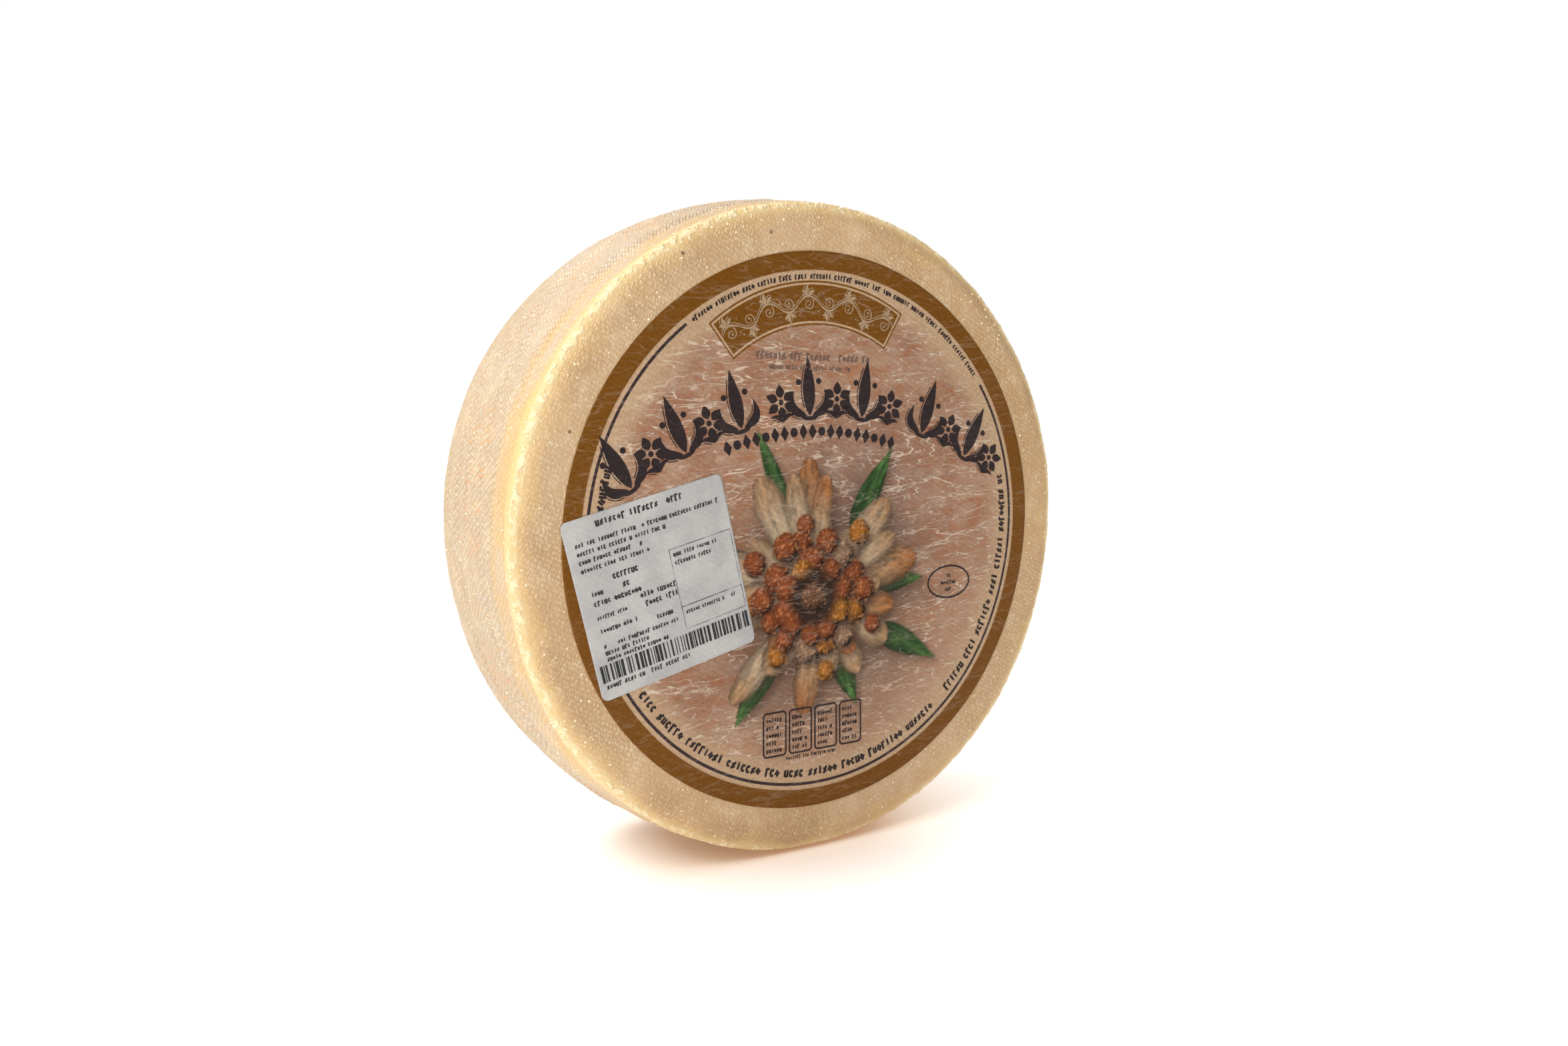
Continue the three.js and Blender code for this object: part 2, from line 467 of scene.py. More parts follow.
def rind_finish():
    material, tree, skin = new_coat("cheese_rind")
    where = node_of(tree, "ShaderNodeTexCoord").outputs["Object"]
    wrap = node_of(tree, "ShaderNodeUVMap", {"uv_map": "cloth_wrap"}).outputs[0]
    reach = Field(tree, node_of(tree, "ShaderNodeAttribute", {"attribute_name": "reach"}).outputs["Fac"])
    on_side = reach.band(side_reach + 0.002, back_edge_reach + 0.004, 0.002)
    edge, waxy, on_ridge, bead, fold = rind_bands(tree, where, reach)
    grain, chance = cloth_print(tree, where, wrap, on_side)
    patches = noise(tree, where, 16.0, detail=3.0, roughness=0.6)
    mottle = noise(tree, where, 90.0, detail=4.0, roughness=0.65)
    cloudy = noise(tree, where, 38.0, detail=3.0, roughness=0.6)
    # the cheese itself, darker on the faces than on the side, golden along its edges
    face = blend(tree, patches.ramp(0.32, 0.68), (0.505, 0.330, 0.172), (0.572, 0.408, 0.250))
    side = blend(tree, patches.ramp(0.35, 0.65), (0.475, 0.392, 0.288), (0.520, 0.450, 0.370))
    colour = blend(tree, on_side, face, side)
    colour = blend(tree, cloudy.ramp(0.50, 0.72) * on_side * 0.3, colour, (0.62, 0.40, 0.23))
    colour = blend(tree, waxy * (0.30 + cloudy.ramp(0.38, 0.60) * 0.5), colour, (0.62, 0.41, 0.165))
    colour = blend(tree, mottle.ramp(0.45, 0.75) * (0.45 - waxy * 0.3), colour, (0.76, 0.64, 0.46))
    # the cloth's print, dark between the bumps and pale on some of them, worn smooth in patches
    worn_smooth = noise(tree, where, 24.0, detail=2.0).ramp(0.42, 0.60) * (0.36 - on_side * 0.2)
    cloth = (1 - waxy * 0.25) * (1 - bead * 0.6) * (1 - worn_smooth)
    pale_bumps = cloth * (1 - grain.ramp(0.08, 0.30)) * chance.ramp(0.2, 0.9)
    colour = blend(tree, cloth * grain.ramp(0.22, 0.58) * 0.60, colour, (0.39, 0.245, 0.115))
    colour = blend(tree, pale_bumps * 0.5, colour, (0.88, 0.77, 0.58))
    # the fold, the bead and the crumbly ridge on it
    crust = noise(tree, where, 330.0, detail=3.0).ramp(0.38, 0.60)
    colour = blend(tree, fold * 0.45, colour, (0.62, 0.41, 0.17))
    colour = blend(tree, bead * 0.7, colour, (0.66, 0.475, 0.215))
    colour = blend(tree, on_ridge * 0.35, colour, (0.72, 0.55, 0.30))
    colour = blend(tree, on_ridge * crust * 0.6, colour, (0.84, 0.72, 0.48))
    colour = back_marks(tree, where, reach, edge, cloudy, colour)
    # the pits, where air was caught against the cloth, painted near black as a painted shade inside them,
    # the grey mould and the stamp
    pit, pit_pick = cells_of(tree, where, 115.0)
    pits_with_painted_shade = (1 - pit.ramp(0.05, 0.11)) * pit_pick.ramp(0.93, 0.94)
    colour = blend(tree, pits_with_painted_shade * 0.7, colour, (0.16, 0.07, 0.03))
    mould = noise(tree, where, 60.0, detail=3.0).ramp(0.64, 0.74) * on_side * patches.ramp(0.45, 0.6)
    colour = blend(tree, mould * 0.25, colour, (0.38, 0.38, 0.40))
    stamped = dairy_stamp(tree, wrap, reach, cloudy) * on_side
    colour = blend(tree, stamped * 0.8, colour, (0.74, 0.31, 0.12))
    set_input(tree, skin.inputs["Base Color"], colour)
    set_input(tree, skin.inputs["Roughness"], 0.74 - waxy * 0.15 - bead * 0.16 + (mottle - 0.5) * 0.2)
    skin.inputs["Specular IOR Level"].default_value = 0.3
    relief = (grain * -1.0) * cloth + mottle * 0.6 + on_ridge * crust * 0.8 - pits_with_painted_shade * 1.5
    embossed(tree, skin, relief, 0.0007, 0.9)
    return material


rind_sizes = {
    "Wave Height": 0.0022,
    "Fold Height": 0.0016,
    "Bead Height": 0.0013,
    "Lump Height": 0.0007,
    "Press Ring Depth": 0.0012,
    "Back Fold Depth": 0.0016,
    "Bulge Height": 0.0036,
    "Cloth Fold Depth": 0.0011,
    "Finish": rind_finish(),
}
rind_tree, size, rind_out = new_tree("pressed_rind", rind_sizes)
place = node_of(rind_tree, "GeometryNodeInputPosition").outputs[0]
outward = node_of(rind_tree, "GeometryNodeInputNormal").outputs[0]
reach = reach_of(rind_tree)
on_side = reach.band(side_reach, back_edge_reach, 0.006)
bare = reach.ramp(label_radius - 0.002, label_radius + 0.004)
ridge_wander = (noise(rind_tree, place, 30.0, detail=2.0) - 0.5) * 0.0022
on_ridge = (reach + ridge_wander).band(ridge_reach - 0.0012, ridge_reach + 0.0028, 0.0024)
crumbly = noise(rind_tree, place, 210.0, detail=3.0, roughness=0.6)
fold_place = stretched(rind_tree, place, (7.0, 60.0, 7.0), (0.09, 0, 0.05))
folds = noise(rind_tree, fold_place, 1.0, detail=1.0).band(0.42, 0.52, 0.06)
lumps = noise(rind_tree, place, 95.0, detail=2.0) - 0.5
height = slow_waves(rind_tree, place) * Field(rind_tree, size["Wave Height"])
height = height + on_side * folds * Field(rind_tree, size["Fold Height"]) * -1.0
height = height + on_ridge * (crumbly * 0.8 + 0.5) * Field(rind_tree, size["Bead Height"])
height = height + bare * lumps * Field(rind_tree, size["Lump Height"])
on_back = reach.ramp(back_face_reach - 0.002, back_face_reach + 0.004)
press_ring = reach.band(press_ring_reach, press_ring_reach + press_ring_width, 0.0016)
height = height - press_ring * Field(rind_tree, size["Press Ring Depth"])
gather_place = stretched(rind_tree, place, (26.0, 0, 5.5), (0, 0.5, 0))
gathers = noise(rind_tree, gather_place, 1.0, detail=1.0, distortion=0.7)
gathered = on_back * (1 - (gathers - 0.5).abs().ramp(0.0, 0.035))
height = height - gathered * Field(rind_tree, size["Back Fold Depth"])
across, _, up = parts_of(rind_tree, place)
up_left = up * 0.90 - axle_height * 0.90 - across * 0.43
bulging = reach.ramp(side_reach - 0.004, back_edge_reach - 0.02) * 0.75
bulging = bulging + reach.ramp(label_radius, front_edge_reach + 0.012) * 0.25
bulging = bulging * (1 - reach.ramp(back_edge_reach, back_face_reach + 0.02)) * up_left.ramp(0.02, 0.14)
height = height + bulging * Field(rind_tree, size["Bulge Height"])
fold_line = (reach + ridge_wander).band(cloth_fold_reach - 0.0012, cloth_fold_reach + 0.0012, 0.0022)
height = height - fold_line * up_left.ramp(-0.07, 0.06) * Field(rind_tree, size["Cloth Fold Depth"])
not_settled = up.ramp(0.0, 0.004)
push = node_of(rind_tree, "ShaderNodeVectorMath", {"operation": "SCALE"})
rind_tree.links.new(outward, push.inputs[0])
rind_tree.links.new((height * not_settled).socket, push.inputs["Scale"])
moved = node_of(rind_tree, "GeometryNodeSetPosition", None, Geometry=size["Geometry"],
                Offset=push.outputs[0])
finish_tree(rind_tree, moved.outputs[0], size["Finish"], rind_out)


rind = placed("cheese_rind", turned_skin("cheese_rind", half_section, reach_along))
grown(rind, rind_tree, rind_sizes)
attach(rind, "root")
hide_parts("cheese_wheel")


# ------------------------------------------------------------------------------------------
# The crumbs on the rind. Grains of salt that dried out of the cheese, thin all over it, and
# crumbs of the crust along the ridge where the mould's lid closed. Each is half sunk in the
# rind. Scattered over the pressed surface itself.
# ------------------------------------------------------------------------------------------
def grain_finish():
    material, tree, coat = new_coat("salt_grain")
    where = node_of(tree, "ShaderNodeTexCoord").outputs["Object"]
    cloudy = noise(tree, where, 140.0, detail=2.0)
    colour = blend(tree, cloudy.ramp(0.4, 0.6), (0.70, 0.53, 0.31), (0.84, 0.74, 0.55))
    set_input(tree, coat.inputs["Base Color"], colour)
    set_input(tree, coat.inputs["Roughness"], 0.45 + cloudy * 0.3)
    embossed(tree, coat, noise(tree, where, 2600.0, detail=1.0), 0.0001, 0.5)
    return material


crumb_sizes = {
    "Salt Density": 31000.0,
    "Crumb Density": 110000.0,
    "Smallest": 0.00022,
    "Largest": 0.00062,
    "Seed": 11,
    "Finish": grain_finish(),
}
crumb_tree, size, crumb_out = new_tree("scattered_crumbs", crumb_sizes)
reach = reach_of(crumb_tree)
place = node_of(crumb_tree, "GeometryNodeInputPosition").outputs[0]
bare = reach.ramp(label_radius + 0.001, label_radius + 0.003)
off_floor = parts_of(crumb_tree, place)[2].ramp(0.004, 0.006)
clumps = noise(crumb_tree, place, 60.0, detail=2.0).ramp(0.36, 0.6)
salt = clumps * Field(crumb_tree, size["Salt Density"])
by_the_ridge = reach.band(ridge_reach - 0.003, ridge_reach + 0.0045, 0.0016)
ridge_crumbs = by_the_ridge * clumps * Field(crumb_tree, size["Crumb Density"])
density = bare * off_floor * (salt + ridge_crumbs)
spread = node_of(crumb_tree, "GeometryNodeDistributePointsOnFaces", None, Mesh=size["Geometry"],
                 Seed=size["Seed"])
set_input(crumb_tree, spread.inputs["Density"], density)
one_grain = node_of(crumb_tree, "GeometryNodeMeshIcoSphere", None, Radius=1.0, Subdivisions=1)
breadth = node_of(crumb_tree, "FunctionNodeRandomValue", {"data_type": "FLOAT"})
for slot, value in ((2, size["Smallest"]), (3, size["Largest"])):
    crumb_tree.links.new(value, breadth.inputs[slot])
strewn = node_of(crumb_tree, "GeometryNodeInstanceOnPoints", None, Points=spread.outputs["Points"],
                 Instance=one_grain.outputs[0], Rotation=spread.outputs["Rotation"],
                 Scale=breadth.outputs[1])
finish_tree(crumb_tree, strewn.outputs[0], size["Finish"], crumb_out)
crumbs = placed("rind_crumbs", rind.data.copy())
grown(crumbs, crumb_tree, crumb_sizes)
crumbs.data.shade_smooth()
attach(crumbs, "root")


# ------------------------------------------------------------------------------------------
# The round label. Thin printed paper, glued over the flat of the face while the rind was damp.
# The cloth's threads show through it, and the crests of its fine wrinkles have lost their ink.
# Its own plane is measured in millimetres, across to the right and up, from its middle.
# ------------------------------------------------------------------------------------------
label_lift = front_y - label_high.y
label_cells = 310
flower_place = (-3.0, -29.0)
flower_seed = 5
sheet_thickness = 0.0004
banner_centre, banner_lean = (-1.6, 24.0), math.radians(-3.7)
banner_low, banner_high = 70.0, 89.5
banner_radius, banner_half_length = 88.0, 54.5


def disc_sheet(name, radius, cells, front):
    """A round sheet, on a net that is drawn out to the circle and is finer towards the middle."""
    line = np.linspace(-1, 1, cells + 1)
    line = line * (0.72 + 0.28 * line * line)
    a, b = np.meshgrid(line, line, indexing="ij")
    across = a * np.sqrt(1 - b * b / 2) * radius
    up = b * np.sqrt(1 - a * a / 2) * radius
    return net_sheet(name, across, axle_height + up, front)


def net_sheet(name, across, up, front):
    """A sheet from a net of places, its front at that depth and its edge turned back to the rind."""
    rows, columns = across.shape
    number = np.arange(rows * columns).reshape(rows, columns)
    squares = [number[:-1, :-1], number[1:, :-1], number[1:, 1:], number[:-1, 1:]]
    faces = np.stack(squares, axis=-1).reshape(-1, 4)
    rim = np.concatenate([number[:-1, 0], number[-1, :-1], number[:0:-1, -1], number[0, :0:-1]])
    points = np.column_stack([across.ravel(), np.full(across.size, front), up.ravel()])
    turned_back = points[rim] + (0, sheet_thickness, 0)
    under = across.size + np.arange(len(rim))
    after = np.roll(np.arange(len(rim)), -1)
    edge = np.stack([rim[after], rim, under, under[after]], axis=-1)
    mesh = bpy.data.meshes.new(name)
    mesh.from_pydata(np.concatenate([points, turned_back]).tolist(), [], faces.tolist() + edge.tolist())
    mesh.shade_smooth()
    return mesh


def own_plane(tree):
    """The place on the labelled face in millimetres: as a vector, and its parts across and up."""
    if tree.type == "SHADER":
        where = node_of(tree, "ShaderNodeTexCoord").outputs["Object"]
    else:
        where = node_of(tree, "GeometryNodeInputPosition").outputs[0]
    from_middle = vector_math(tree, "SUBTRACT", where, (0, 0, axle_height))
    plane = vector_math(tree, "MULTIPLY", from_middle, (1000, 0, 1000))
    across, _, up = parts_of(tree, plane)
    return plane, across, up


def box_field(along, up, left, right, low, high):
    """How far outside a rectangle a place is: below 0 within it."""
    beside = (along - (left + right) / 2).abs() - (right - left) / 2
    above = (up - (low + high) / 2).abs() - (high - low) / 2
    return beside.most(above)


def within(outside):
    """1 inside a shape, from how far outside it a place is."""
    return 1 - outside.ramp(-0.1, 0.1)


def polar(across, up, centre):
    """Distance from a centre, and the way round it from straight up, clockwise, in radians."""
    a, b = across - centre[0], up - centre[1]
    return (a * a + b * b).power(0.5), a.math("ARCTAN2", b)


def banner_box(across, up):
    """How far outside the banner's curved strip a place is."""
    far, turn = polar(across, up, banner_centre)
    along = (turn - banner_lean) * banner_radius
    return box_field(along, far, -banner_half_length, banner_half_length, banner_low, banner_high)


def creases(tree, plane):
    """The crests of the paper's wrinkles: a loose net of thin lines that run nearly level. They are
    lower where the ink is thick, on the ring and the banner."""
    layers = []
    for turn, scale, width in (
        (4, (0.022, 1, 0.125), 0.015),
        (-7, (0.028, 1, 0.17), 0.014),
        (8, (0.045, 1, 0.36), 0.021),
    ):
        lie = stretched(tree, plane, scale, (0, math.radians(turn), 0))
        waves = noise(tree, lie, 1.0, detail=2.5, roughness=0.55, distortion=0.2)
        there = noise(tree, lie, 0.55, detail=1.0).ramp(0.42, 0.56)
        layers.append((1 - (waves - 0.5).abs().ramp(0.0, width)) * there)
    crests = layers[0].most(layers[1]).most(layers[2])
    across, _, up = parts_of(tree, plane)
    far, _ = polar(across, up, (0, 0))
    return crests * (1 - far.ramp(104.0, 115.0) * 0.86) * (1 - within(banner_box(across, up)) * 0.7)


def paper_sizes(finish):
    return {"Wave Height": rind_sizes["Wave Height"], "Wrinkle Height": 0.00013, "Finish": finish}


def on_the_paper(tree, size, geometry):
    """The geometry lifted towards the room by the rind's waves and by the paper's wrinkles."""
    place = node_of(tree, "GeometryNodeInputPosition").outputs[0]
    plane, _, _ = own_plane(tree)
    lift = slow_waves(tree, place) * Field(tree, size["Wave Height"])
    lift = lift + creases(tree, plane) * Field(tree, size["Wrinkle Height"])
    towards = node_of(tree, "ShaderNodeCombineXYZ", None, Y=-lift)
    moved = node_of(tree, "GeometryNodeSetPosition", None, Geometry=geometry, Offset=towards.outputs[0])
    return moved.outputs[0]


class Painter:
    """Lays one soft shape over another on a set of places, as a painter does."""

    def __init__(self, across, up, seed):
        self.across, self.up = across, up
        self.chance = np.random.default_rng(seed)
        self.colour = np.zeros((len(across), 3))
        self.cover = np.zeros(len(across))
        self.lattice = self.chance.random((97, 89))

    def cloud(self, a, b):
        """Smooth noise from 0 to 1, with one unit between its knots."""
        i, j = np.floor(a).astype(int), np.floor(b).astype(int)
        u, v = a - i, b - j
        u, v = u * u * (3 - 2 * u), v * v * (3 - 2 * v)
        knot = self.lattice
        rows, columns = knot.shape
        i0, i1, j0, j1 = i % rows, (i + 1) % rows, j % columns, (j + 1) % columns
        near = knot[i0, j0] * (1 - u) + knot[i1, j0] * u
        far = knot[i0, j1] * (1 - u) + knot[i1, j1] * u
        return near * (1 - v) + far * v

    def lay(self, share, colour):
        """Covers that share of each place with a colour."""
        share = np.clip(share, 0, 1)[:, None]
        self.colour = self.colour * (1 - share) + np.asarray(colour) * share
        self.cover = 1 - (1 - self.cover) * (1 - share[:, 0])

    def petal(self, root, turn, length, width, base, tip, blunt=0.0, soft=0.8):
        """A woolly leaf from its root outward, with its shadow to the lower right of it."""
        fold = self.chance.uniform(-0.25, 0.25)
        fray = 1.5 if blunt else 0.4
        for shift, shadow in ((2.2, True), (0.0, False)):
            a, b = self.across - root[0] - shift, self.up - root[1] + shift
            along = (a * math.cos(turn) + b * math.sin(turn)) / length
            beside = -a * math.sin(turn) + b * math.cos(turn) + fold * length * along * (1 - along) * 0.6
            if blunt:
                broad = 0.42 + 0.58 * smooth(along, 0.0, blunt)
                closing = np.sqrt(1 - ((along - blunt) / (1.001 - blunt)).clip(0, 1) ** 2)
            else:
                broad = np.sin(math.pi * along.clip(0.02, 1) ** 0.72)
                closing = 1.0
            half = width / 2 * broad * closing * np.clip(along / 0.02, 0, 1) * (along < 1) + 0.001
            hairs = self.cloud(along * length / 7.0 + turn * 9, beside / 0.95 + 40) - 0.5
            frayed = np.abs(beside) + hairs * (0.0 if shadow else fray)
            if shadow:
                ends = smooth(along, -0.02, 0.1) * smooth(along, 1.04, 0.9)
                self.lay(smooth(frayed, half + 3.5, half - 2.5) * ends * 0.5, (0.045, 0.026, 0.02))
                continue
            rise = np.clip(frayed / half, 0, 2)
            down = self.cloud(beside / 1.3 + 11, along * length / 3.0)
            flesh = mixed(base, tip, smooth(along + hairs * 0.2, 0.62, 1.0))
            rounded = 1.12 - 0.48 * smooth(rise, 0.45, 1.05) - 0.22 * smooth(beside / half, -0.1, -0.9)
            rooted = 0.42 + 0.58 * smooth(along * length, 4.0, 19.0)
            woolly = 0.72 + 0.50 * down + 0.75 * hairs
            flesh = flesh * rounded[:, None]
            flesh = flesh * rooted[:, None]
            flesh = flesh * woolly[:, None]
            self.lay(smooth(frayed, half + soft * 0.5, half - soft * 0.5) * (half > 0.06), flesh)

    def floret(self, place, size, base):
        """A round woolly knob, dark below and pricked with pale and golden hairs."""
        a, b = self.across - place[0], self.up - place[1]
        self.lay(smooth(np.hypot(a - 1.3, b + 1.3), size * 1.35, size * 0.7) * 0.6, (0.04, 0.02, 0.015))
        round_it = np.arctan2(b, a)
        far = np.hypot(a, b) / size + (self.cloud(round_it * 3.2 + place[0], 3 + place[1]) - 0.5) * 0.12
        prick = self.cloud(self.across / 0.9 + place[0], self.up / 0.9) - 0.5
        light = 0.95 - 0.55 * smooth(far, 0.25, 1.0) + 0.28 * np.clip((b - a) / size, -1, 1)
        flesh = np.asarray(base) * (light + prick * 0.75)[:, None]
        flesh = flesh + smooth(prick, 0.22, 0.4)[:, None] * np.array((0.16, 0.10, 0.05))
        self.lay(smooth(far, 1.06, 0.92), flesh)


def smooth(value, low, high):
    """0 at low and 1 at high, eased between them."""
    share = np.clip((value - low) / (high - low), 0, 1)
    return share * share * (3 - 2 * share)


def mixed(one, other, share):
    return np.asarray(one) * (1 - share[:, None]) + np.asarray(other) * share[:, None]


def pointing(turn):
    return np.array((math.cos(turn), math.sin(turn)))


def alpine_star(across, up):
    """A woolly mountain flower seen from above on green leaves, as colour and cover at each place."""
    brush = Painter(across, up, flower_seed)
    middle = np.array(flower_place)
    rust, tan, cream = (0.27, 0.105, 0.035), (0.29, 0.17, 0.085), (0.35, 0.26, 0.17)
    golden, russet, downy = (0.34, 0.125, 0.015), (0.235, 0.060, 0.016), (0.27, 0.16, 0.10)
    # the soft shadow that it all lies in
    far = np.hypot(across - middle[0] - 6, up - middle[1] + 5)
    blot = brush.cloud(across / 11, up / 11) * 16
    brush.lay(smooth(far + blot, 86, 30) * 0.75, (0.115, 0.070, 0.055))
    # the green leaves
    for turn, reach, span in (
        (57, 80, 12), (112, 84, 9), (-27, 80, 13), (-66, 58, 12), (-128, 70, 12), (4, 64, 10),
    ):
        heading = math.radians(turn)
        root = middle + 0.45 * reach * pointing(heading)
        brush.petal(root, heading, 0.55 * reach, span, (0.030, 0.075, 0.020), (0.055, 0.135, 0.028))
    # three rounds of woolly petals, the shortest on top, shorter where they point down or right
    for count, first, reach, span in ((10, 12, 74, 15), (9, 33, 58, 14), (8, 5, 43, 13)):
        for n in range(count):
            turn = math.radians(first + (n + brush.chance.uniform(-0.28, 0.28)) * 360 / count)
            base, tip = (cream, tan) if brush.chance.uniform() < 0.6 else (tan, rust)
            shortened = 1 - 0.28 * max(0, -math.sin(turn)) - 0.12 * max(0, math.cos(turn))
            long = reach * shortened * brush.chance.uniform(0.82, 1.06)
            wide = span * brush.chance.uniform(0.85, 1.15)
            brush.petal(middle, turn, long, wide, base, tip, blunt=0.74, soft=1.3)
    # the dark heart, and the florets in three rings round it
    from_heart = np.hypot(across - middle[0], up - middle[1])
    brush.lay(smooth(from_heart + blot * 0.5, 46, 24) * 0.7, (0.10, 0.045, 0.022))
    for count, ring, size in ((7, 35, 5.4), (14, 25.5, 6.2), (10, 15.5, 6.6)):
        for n in range(count):
            turn = math.radians((n + brush.chance.uniform(-0.3, 0.3)) * 360 / count + ring)
            out = ring * brush.chance.uniform(0.86, 1.14)
            warm = brush.chance.uniform()
            base = golden if warm < 0.2 else russet if warm < 0.85 else downy
            girth = size * brush.chance.uniform(0.85, 1.15)
            brush.floret(middle + out * pointing(turn), girth, base)
    brush.lay(smooth(from_heart, 17.0, 9.0) * 0.95, (0.022, 0.010, 0.006))
    brush.floret(middle, 7.2, (0.13, 0.055, 0.028))
    return brush.colour, brush.cover


def label_face(tree, plane, across, up):
    """The label's print but its ornament and small rows: cloudy field, flower, rings and banner."""
    far, round_it = polar(across, up, (0, 0))
    # the cloudy, veined field, paler to the lower right and towards the ring, and dark in its middle
    cloudy = noise(tree, plane, 0.035, detail=4.0, roughness=0.6)
    veins = stretched(tree, plane, (0.09, 1, 0.17))
    marbled = noise(tree, veins, 1.0, detail=4.0, roughness=0.65, distortion=0.6)
    colour = blend(tree, cloudy.ramp(0.38, 0.62), (0.300, 0.158, 0.098), (0.375, 0.232, 0.156))
    colour = blend(tree, marbled.ramp(0.48, 0.64) * 0.75, colour, (0.33, 0.140, 0.068))
    colour = blend(tree, (1 - marbled.ramp(0.30, 0.45)) * 0.5, colour, (0.50, 0.37, 0.275))
    colour = blend(tree, (up * -1.0 + across * 0.5).ramp(35.0, 120.0) * 0.6, colour, (0.47, 0.30, 0.20))
    hazy, _ = polar(across, up, (22.0, 12.0))
    colour = blend(tree, (1 - hazy.ramp(18.0, 62.0)) * 0.42, colour, (0.19, 0.125, 0.105))
    colour = blend(tree, far.ramp(99.0, 112.0) * 0.85, colour, (0.48, 0.335, 0.205))
    # the flower
    picture = node_of(tree, "ShaderNodeAttribute", {"attribute_name": "flower"})
    colour = blend(tree, Field(tree, picture.outputs["Alpha"]), colour, picture.outputs["Color"])
    ink, brown, pale = (0.034, 0.020, 0.022), (0.160, 0.060, 0.004), (0.46, 0.32, 0.20)
    # the brown ring, and the dark line inside it, which opens at the top for a line of small print
    colour = blend(tree, far.ramp(117.9, 118.5), colour, brown)
    beside_gap = (round_it - math.radians(9.0)).abs().ramp(math.radians(45.4), math.radians(45.6))
    colour = blend(tree, far.band(114.9, 116.3, 0.12) * beside_gap, colour, ink)
    # the banner above the middle, with a pale line inside its edge
    banner = banner_box(across, up)
    colour = blend(tree, within(banner), colour, brown)
    colour = blend(tree, banner.band(-1.75, -0.85, 0.12), colour, pale)
    return colour


def worn(tree, plane, colour, lost=0.7, paper=(0.68, 0.56, 0.45), threads_show=0.5):
    """The print with its ink rubbed off the crests, and the cloth's threads showing through."""
    picture = node_of(tree, "ShaderNodeAttribute", {"attribute_name": "flower"})
    crests = creases(tree, plane) * (1 - Field(tree, picture.outputs["Alpha"]) * 0.82)
    weave = stretched(tree, plane, (0.76, 0, 0.42), (0, math.radians(-28), 0))
    thread, _ = cells_of(tree, weave, 1.0, 0.4)
    colour = blend(tree, thread.ramp(0.15, 0.7) * threads_show, colour, (0.62, 0.58, 0.56), "MULTIPLY")
    return blend(tree, crests * lost, colour, paper), crests, thread


def printed(name, painted, **wear):
    """The finish of printed paper, from a function that gives the print's colour at a place."""
    material, tree, coat = new_coat(name)
    plane, across, up = own_plane(tree)
    colour, crests, thread = worn(tree, plane, painted(tree, plane, across, up), **wear)
    set_input(tree, coat.inputs["Base Color"], colour)
    scuffed = noise(tree, plane, 0.06, detail=4.0, roughness=0.65)
    rough = 0.5 + crests * 0.15 + (scuffed - 0.5) * 0.35 - thread * 0.08
    set_input(tree, coat.inputs["Roughness"], rough)
    coat.inputs["Specular IOR Level"].default_value = 0.10
    embossed(tree, coat, crests * 1.2 - thread * 0.35, 0.0004, 0.6)
    return material


label_finish = printed("label_print", label_face)
paper_tree, size, paper_out = new_tree("wrinkled_paper", paper_sizes(label_finish))
finish_tree(paper_tree, on_the_paper(paper_tree, size, size["Geometry"]), size["Finish"], paper_out)

label_mesh = disc_sheet("round_label_paper", label_radius, label_cells, front_y - label_lift)
spots = np.zeros(len(label_mesh.vertices) * 3, np.float32)
label_mesh.vertices.foreach_get("co", spots)
spots = spots.reshape(-1, 3).astype(float)
star_colour, star_cover = alpine_star(spots[:, 0] * 1000, (spots[:, 2] - axle_height) * 1000)
flower = label_mesh.attributes.new("flower", "FLOAT_COLOR", "POINT")
star = np.column_stack([star_colour.clip(0, 1), star_cover]).astype(np.float32)
flower.data.foreach_set("color", star.ravel())
round_label = placed("round_label_paper", label_mesh)
grown(round_label, paper_tree, paper_sizes(label_finish))
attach(round_label, "root")
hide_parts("round_label")


# ------------------------------------------------------------------------------------------
# The label's ornament, printed in thick ink: a border of palmettes and rosettes, a row of pearls
# under it, a pale leaf scroll on the banner, and the outlines of an oval and of four boxes. The
# ink stands a hair above the paper and follows its wrinkles.
# ------------------------------------------------------------------------------------------
ink_lift = 0.00012


def square_to(line):
    """The way to a line's left at each of its points."""
    ahead = np.gradient(line, axis=0)
    ahead /= np.linalg.norm(ahead, axis=1)[:, None]
    return np.column_stack([-ahead[:, 1], ahead[:, 0]])


